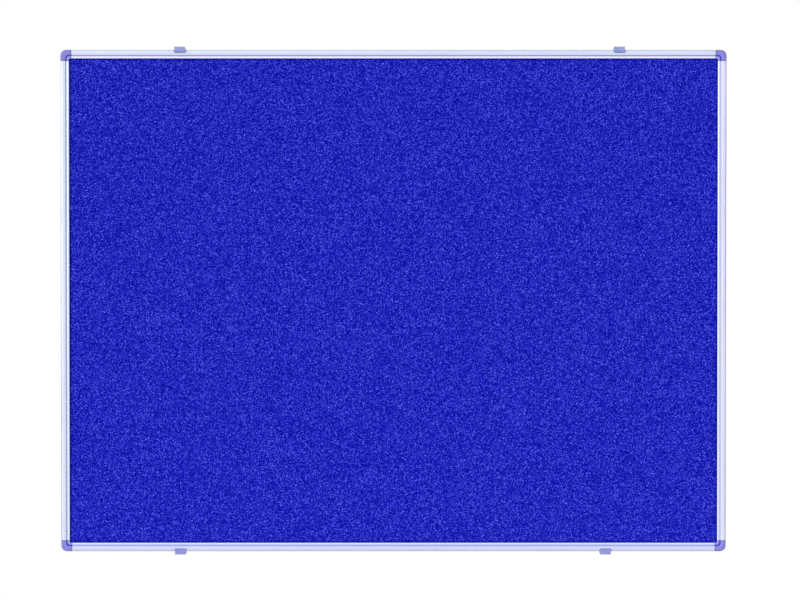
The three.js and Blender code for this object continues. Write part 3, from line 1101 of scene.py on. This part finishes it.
def make_clip():
    """One clip, standing at the middle of a side, for the others to copy."""
    clip = clip_body()
    ears = standing([
        (-clip_half - ear_reach, ear_start),
        (clip_half + ear_reach, ear_start),
        (clip_half + ear_reach, ear_start + ear_flat),
        (clip_half - clip_fit, ear_start + ear_length),
        (clip_fit - clip_half, ear_start + ear_length),
        (-clip_half - ear_reach, ear_start + ear_flat),
    ], clip_under, clip_front, "ears")
    combine(clip, ears, "UNION")
    inside = clip_half - clip_wall
    core = standing(
        rectangle(-inside, clip_wall - clip_stand, inside, -clip_fit - clip_wall),
        -overrun, clip_under, "core",
    )
    combine(clip, core, "DIFFERENCE")
    grip = standing(
        rectangle(-grip_width / 2, grip_inset, grip_width / 2, grip_inset + grip_length),
        clip_front - grip_depth, ridge_bend + overrun, "grip",
    )
    combine(clip, grip, "DIFFERENCE")
    screw_way = turned([
        (0, -overrun),
        (wall_screw_radius, -overrun),
        (wall_screw_radius, wall_screw_flat),
        (wall_screw_head_radius, clip_plate),
        (wall_screw_head_radius, clip_plate + clip_fit),
        (0, clip_plate + clip_fit),
    ], 0, wall_screw_place, "screw_way")
    combine(clip, screw_way, "DIFFERENCE")
    return clip


def mark_places(piece):
    """Keeps where each point of a clip lies, for the finish: across the clip, in from the
    frame's edge and forward from the wall."""
    spots = [vert.co for vert in piece.data.vertices]
    places = {
        "across": [spot.x for spot in spots],
        "inset": [spot.z for spot in spots],
        "forward": [-spot.y for spot in spots],
    }
    for name, values in places.items():
        marks = piece.data.attributes.new(name, "FLOAT", "POINT")
        marks.data.foreach_set("value", values)


def make_clips(side, material):
    clip = make_clip()
    for end in ("left", "right"):
        node = f"wall_clip_{side}_{end}"
        low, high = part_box(node)
        middle = (low.x + high.x) / 2
        along = -middle if side == "top" else middle
        piece = copy_of(clip, f"{node}_moulding")
        tidy(piece)
        mark_places(piece)
        place = frame_place(*sides[side]) @ Matrix.Translation((along, 0, 0))
        put(piece, material, f"{side}_{end}_clip", node, place)
    bpy.data.objects.remove(clip)


def spread(share, half, lines):
    """Where a grid line goes, so that lines lie closer together at the sheet's edges."""
    knee = 1 - 2 * felt_edge_lines / lines
    size = abs(share)
    inner = half - felt_edge_margin
    if size < knee:
        place = inner * size / knee
    else:
        place = inner + felt_edge_margin * (size - knee) / (1 - knee)
    return math.copysign(place, share)


def depth_inside_lip(x, z):
    """How far a point lies in from the lip's edge, whose corners are rounded."""
    across = abs(x) - (half_width - face_width - felt_corner_radius)
    up = abs(z) - (half_height - face_width - felt_corner_radius)
    outside = math.hypot(max(across, 0), max(up, 0))
    return felt_corner_radius - outside - min(max(across, up), 0)


def felt_height(x, z):
    """The felt's distance out from the wall: pressed under the lip, full inside it."""
    rise = clamp(depth_inside_lip(x, z) / felt_rise_width)
    rise = rise * rise * (3 - 2 * rise)
    wave = noise.noise(Vector((x, z, 0)) / felt_wave_length) * felt_wave_height
    tuft = noise.noise(Vector((x, z, 1)) / felt_tuft_length) * felt_tuft_height
    pressed = felt_front - felt_pressed_step
    return pressed + rise * (felt_pressed_step - felt_wave_height - felt_tuft_height + wave + tuft)


def make_felt(material):
    bm = bmesh.new()
    shade = bm.verts.layers.float.new("lip_shade")
    bmesh.ops.create_grid(bm, x_segments=felt_columns, y_segments=felt_rows, size=1)
    for vert in bm.verts:
        x = spread(vert.co.x, panel_half_width, felt_columns)
        z = spread(vert.co.y, panel_half_height, felt_rows)
        vert.co = (x, -felt_height(x, z), z)
        # How far inside the lip the felt carries its painted shadow
        vert[shade] = 1 - clamp(depth_inside_lip(x, z) / felt_dark_edge)
    rim = [edge for edge in bm.edges if edge.is_boundary]
    made = bmesh.ops.extrude_edge_only(bm, edges=rim)["geom"]
    for vert in made:
        if isinstance(vert, bmesh.types.BMVert):
            vert.co.y = -felt_rear
    back = [edge for edge in bm.edges if edge.is_boundary]
    bmesh.ops.edgeloop_fill(bm, edges=back)
    bmesh.ops.recalc_face_normals(bm, faces=bm.faces[:])
    soften(bm)
    felt = to_object(bm, "felt_sheet")
    put(felt, material, "board", "felt_facing")


def dress(node, material):
    """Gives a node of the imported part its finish."""
    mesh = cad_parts[node].data
    mesh.materials.clear()
    mesh.materials.append(material)


# Each rail has its own copy of the anodising, coloured to how light falls on that side: painted
# light and shade, such as the darker outer edges of the side rails and the paler groove of the right
# rail
make_rail("top", anodised_aluminium(
    "top", groove=colour(164, 162, 206), edge=colour(174, 186, 208),
    band=colour(213, 222, 245), bead=colour(232, 235, 255),
))
make_rail("bottom", anodised_aluminium(
    "bottom", groove=colour(170, 177, 229), edge=colour(176, 188, 208),
    band=colour(208, 213, 246), bead=colour(214, 222, 255),
))
make_rail("left", anodised_aluminium(
    "left", groove=colour(174, 184, 208), edge=colour(146, 158, 178),
    band=colour(216, 226, 245), bead=colour(216, 226, 252),
))
make_rail("right", anodised_aluminium(
    "right", groove=colour(204, 205, 235), edge=colour(140, 150, 184),
    band=colour(222, 221, 250), bead=colour(216, 228, 252),
))
make_corners(corner_plastic())
# The top and bottom clips are lit and shaded copies of one plastic: the top clips' lip edge is dark
# with a painted shadow, the bottom clips' is not
make_clips("top", clip_plastic(
    "top", dark=colour(133, 148, 205), light=colour(155, 166, 225),
    rim=colour(130, 140, 172), lip_edge=colour(94, 97, 164),
))
make_clips("bottom", clip_plastic(
    "bottom", dark=colour(128, 134, 199), light=colour(150, 155, 217),
    rim=colour(132, 140, 176), lip_edge=colour(136, 135, 204),
))
make_screws(zinc_plated_steel())
make_felt(needled_felt())
dress("softboard_core", softboard())
dress("backing_sheet", hardboard())

# Studio: a pale floor well below the board, and how bright a white world lights it
floor_drop = 0.65
floor_size = 4.8
fill_level = 0.62


def make_floor():
    bm = bmesh.new()
    bmesh.ops.create_grid(bm, x_segments=1, y_segments=1, size=floor_size / 2)
    bmesh.ops.translate(bm, vec=(0, 0, -half_height - floor_drop), verts=bm.verts[:])
    floor = to_object(bm, "floor")
    finish = Finish(bpy.data.materials.new("studio_floor"))
    clouds = finish.noise(500 * mm)
    floor.data.materials.append(finish.surface({
        "Base Color": finish.mix(clouds, colour(248, 248, 250), colour(252, 252, 253)),
        "Roughness": 0.9,
    }))


def make_world():
    """White where it is seen or mirrored, and dimmer where it lights the board."""
    world = bpy.data.worlds.new("studio")
    bpy.context.scene.world = world
    finish = Finish(world)
    rays = ("Is Camera Ray", "Is Glossy Ray", "Is Transmission Ray")
    seen = reduce(Value.most, [finish.node("ShaderNodeLightPath", {}, {}, ray) for ray in rays])
    background = finish.node("ShaderNodeBackground", {}, {
        "Color": (1, 1, 1, 1),
        "Strength": seen * (1 - fill_level) + fill_level,
    })
    finish.node("ShaderNodeOutputWorld", {}, {"Surface": background})


def set_up(name, data, place, facing):
    """Stands a lamp or a camera at a place, facing in a direction."""
    holder = add_object(name, data)
    holder.location = place
    holder.rotation_euler = facing.to_track_quat("-Z", "Y").to_euler()
    return holder


def make_lamp(name, place, softness, level):
    """An even light from one side, as bright as its level on a surface that faces it."""
    lamp = bpy.data.lights.new(name, "SUN")
    lamp.angle = softness
    lamp.energy = math.pi * level
    set_up(name, lamp, place, -place)


make_floor()
make_world()
make_lamp("key", place=Vector((-4.7, -3.2, 2.3)), softness=math.radians(24), level=0.66)
make_lamp("back", place=Vector((0.6, 3.6, 1.4)), softness=math.radians(30), level=0.30)

# Camera, fitted to where the frame lies in an image of 800 by 600 pixels
image_width = 800
image_height = 600
board_width_px = 665.6
board_centre_px = (393.45, 300.95)
camera_distance = 3.5
camera_dip = math.radians(0.67)
sensor_width = 36.0


def make_camera():
    metres_per_px = 2 * half_width / board_width_px
    camera = bpy.data.cameras.new("camera")
    camera.sensor_fit = "HORIZONTAL"
    camera.sensor_width = sensor_width
    camera.lens = sensor_width * camera_distance / (metres_per_px * image_width)
    aim = Vector((
        (image_width / 2 - board_centre_px[0]) * metres_per_px,
        -rail_front,
        (board_centre_px[1] - image_height / 2) * metres_per_px,
    ))
    back = Vector((0, -math.cos(camera_dip), math.sin(camera_dip)))
    bpy.context.scene.camera = set_up("camera", camera, aim + back * camera_distance, -back)


make_camera()
bpy.context.scene.view_settings.view_transform = "Standard"
